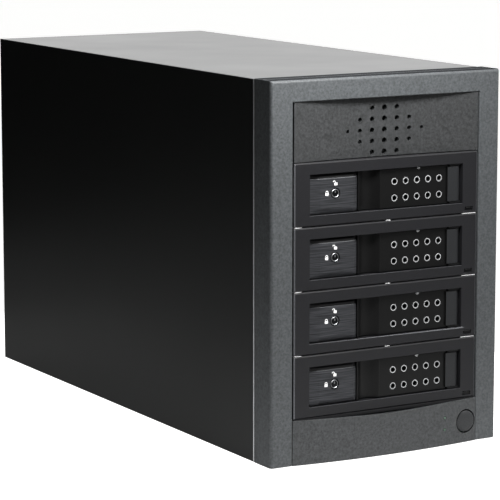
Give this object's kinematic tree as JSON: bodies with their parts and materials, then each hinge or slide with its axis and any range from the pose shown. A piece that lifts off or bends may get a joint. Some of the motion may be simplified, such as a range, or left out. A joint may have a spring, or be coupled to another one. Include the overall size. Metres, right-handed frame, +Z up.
{
  "type": "nas enclosure",
  "caption": "Storage tower with a black steel cover, a moulded front, lockable hot-swap drive drawers, a vent panel and a power button.",
  "frame": {"origin": "middle of the bounding box at the surface the feet stand on", "axes": "+X to the right seen from the front, +Y to the rear, +Z up"},
  "size_m": [0.182, 0.429, 0.26],
  "materials": {
    "bezel_plastic": "fine spark texture, black ABS",
    "black_paint": "satin black powder coat on steel sheet",
    "plated_steel": "zinc-plated steel sheet",
    "tray_plastic": "satin black moulding",
    "handle_plastic": "semi-gloss black moulding",
    "release_metal": "black film with a horizontal brushed grain",
    "lock_metal": "nickel-plated lock barrel",
    "dark_lens": "smoked lens",
    "lamp_green": "unlit green-tinted lamp",
    "foot_rubber": "black rubber",
    "circuit_board": "green solder mask",
    "fan_plastic": "satin black moulding",
    "guard_wire": "bright plated wire",
    "gloss_black": "glossy black moulding",
    "fin_aluminium": "extruded fins",
    "button_plastic": "satin black moulding"
  },
  "bodies": {
    "case": {"base_pan": "plated_steel", "top_cover": "black_paint", "front_plate": "plated_steel", "cage_side_left": "plated_steel", "cage_side_right": "plated_steel", "rear_panel": "black_paint", "foot_front_left": "foot_rubber", "foot_front_right": "foot_rubber", "foot_rear_left": "foot_rubber", "foot_rear_right": "foot_rubber", "front_frame": "bezel_plastic", "vent_panel": "bezel_plastic", "lower_panel": "bezel_plastic", "switch_board": "circuit_board", "power_lamp": "lamp_green", "disk_lamp": "lamp_green", "fan_frame": "fan_plastic", "fan_guard": "guard_wire", "psu_case": "plated_steel", "psu_inlet": "gloss_black", "controller_board": "circuit_board", "heat_sink": "fin_aluminium", "lan_socket": "plated_steel", "usb_sockets": "plated_steel", "bay_1_front": "bezel_plastic", "bay_1_sleeve": "plated_steel", "bay_1_backplane": "circuit_board", "bay_1_lamp_lens": "dark_lens", "bay_2_front": "bezel_plastic", "bay_2_sleeve": "plated_steel", "bay_2_backplane": "circuit_board", "bay_2_lamp_lens": "dark_lens", "bay_3_front": "bezel_plastic", "bay_3_sleeve": "plated_steel", "bay_3_backplane": "circuit_board", "bay_3_lamp_lens": "dark_lens", "bay_4_front": "bezel_plastic", "bay_4_sleeve": "plated_steel", "bay_4_backplane": "circuit_board", "bay_4_lamp_lens": "dark_lens"},
    "tray_1": {"bay_1_tray": "tray_plastic"},
    "handle_1": {"bay_1_handle": "handle_plastic"},
    "release_1": {"bay_1_release": "release_metal"},
    "key_lock_1": {"bay_1_key_lock": "lock_metal"},
    "tray_2": {"bay_2_tray": "tray_plastic"},
    "handle_2": {"bay_2_handle": "handle_plastic"},
    "release_2": {"bay_2_release": "release_metal"},
    "key_lock_2": {"bay_2_key_lock": "lock_metal"},
    "tray_3": {"bay_3_tray": "tray_plastic"},
    "handle_3": {"bay_3_handle": "handle_plastic"},
    "release_3": {"bay_3_release": "release_metal"},
    "key_lock_3": {"bay_3_key_lock": "lock_metal"},
    "tray_4": {"bay_4_tray": "tray_plastic"},
    "handle_4": {"bay_4_handle": "handle_plastic"},
    "release_4": {"bay_4_release": "release_metal"},
    "key_lock_4": {"bay_4_key_lock": "lock_metal"},
    "power_button": {"power_button": "button_plastic"},
    "fan_rotor": {"fan_rotor": "fan_plastic"},
    "psu_fan_rotor": {"psu_fan_rotor": "fan_plastic"},
    "psu_rocker": {"psu_rocker": "gloss_black"}
  },
  "joints": [
    {"name": "tray_1_slide", "type": "slide", "parent": "case", "child": "tray_1", "axis": [0, -1, 0], "range_m": [0, 0.15]},
    {"name": "handle_1_swing", "type": "hinge", "parent": "tray_1", "child": "handle_1", "pos_m": [0.0582, -0.2059, 0.183], "axis": [0, 0, 1], "range_deg": [0, 70]},
    {"name": "release_1_press", "type": "slide", "parent": "tray_1", "child": "release_1", "axis": [0, 1, 0], "range_m": [0, 0.002], "stiffness_N_per_m": 600, "springref_m": -0.002},
    {"name": "key_lock_1_turn", "type": "hinge", "parent": "release_1", "child": "key_lock_1", "pos_m": [-0.0403, -0.208, 0.183], "axis": [0, -1, 0], "range_deg": [0, 90]},
    {"name": "tray_2_slide", "type": "slide", "parent": "case", "child": "tray_2", "axis": [0, -1, 0], "range_m": [0, 0.15]},
    {"name": "handle_2_swing", "type": "hinge", "parent": "tray_2", "child": "handle_2", "pos_m": [0.0582, -0.2059, 0.14], "axis": [0, 0, 1], "range_deg": [0, 70]},
    {"name": "release_2_press", "type": "slide", "parent": "tray_2", "child": "release_2", "axis": [0, 1, 0], "range_m": [0, 0.002], "stiffness_N_per_m": 600, "springref_m": -0.002},
    {"name": "key_lock_2_turn", "type": "hinge", "parent": "release_2", "child": "key_lock_2", "pos_m": [-0.0403, -0.208, 0.14], "axis": [0, -1, 0], "range_deg": [0, 90]},
    {"name": "tray_3_slide", "type": "slide", "parent": "case", "child": "tray_3", "axis": [0, -1, 0], "range_m": [0, 0.15]},
    {"name": "handle_3_swing", "type": "hinge", "parent": "tray_3", "child": "handle_3", "pos_m": [0.0582, -0.2059, 0.097], "axis": [0, 0, 1], "range_deg": [0, 70]},
    {"name": "release_3_press", "type": "slide", "parent": "tray_3", "child": "release_3", "axis": [0, 1, 0], "range_m": [0, 0.002], "stiffness_N_per_m": 600, "springref_m": -0.002},
    {"name": "key_lock_3_turn", "type": "hinge", "parent": "release_3", "child": "key_lock_3", "pos_m": [-0.0403, -0.208, 0.097], "axis": [0, -1, 0], "range_deg": [0, 90]},
    {"name": "tray_4_slide", "type": "slide", "parent": "case", "child": "tray_4", "axis": [0, -1, 0], "range_m": [0, 0.15]},
    {"name": "handle_4_swing", "type": "hinge", "parent": "tray_4", "child": "handle_4", "pos_m": [0.0582, -0.2059, 0.054], "axis": [0, 0, 1], "range_deg": [0, 70]},
    {"name": "release_4_press", "type": "slide", "parent": "tray_4", "child": "release_4", "axis": [0, 1, 0], "range_m": [0, 0.002], "stiffness_N_per_m": 600, "springref_m": -0.002},
    {"name": "key_lock_4_turn", "type": "hinge", "parent": "release_4", "child": "key_lock_4", "pos_m": [-0.0403, -0.208, 0.054], "axis": [0, -1, 0], "range_deg": [0, 90]},
    {"name": "power_button_press", "type": "slide", "parent": "case", "child": "power_button", "axis": [0, 1, 0], "range_m": [0, 0.0015], "stiffness_N_per_m": 800, "springref_m": -0.0015},
    {"name": "fan_spin", "type": "hinge", "parent": "case", "child": "fan_rotor", "pos_m": [0, 0.1987, 0.133], "axis": [0, 1, 0], "continuous": true},
    {"name": "psu_fan_spin", "type": "hinge", "parent": "case", "child": "psu_fan_rotor", "pos_m": [-0.0175, 0.2049, 0.22995], "axis": [0, 1, 0], "continuous": true},
    {"name": "psu_rocker_tilt", "type": "hinge", "parent": "case", "child": "psu_rocker", "pos_m": [-0.0565, 0.2095, 0.24115], "axis": [1, 0, 0], "range_deg": [-8, 8]}
  ]
}
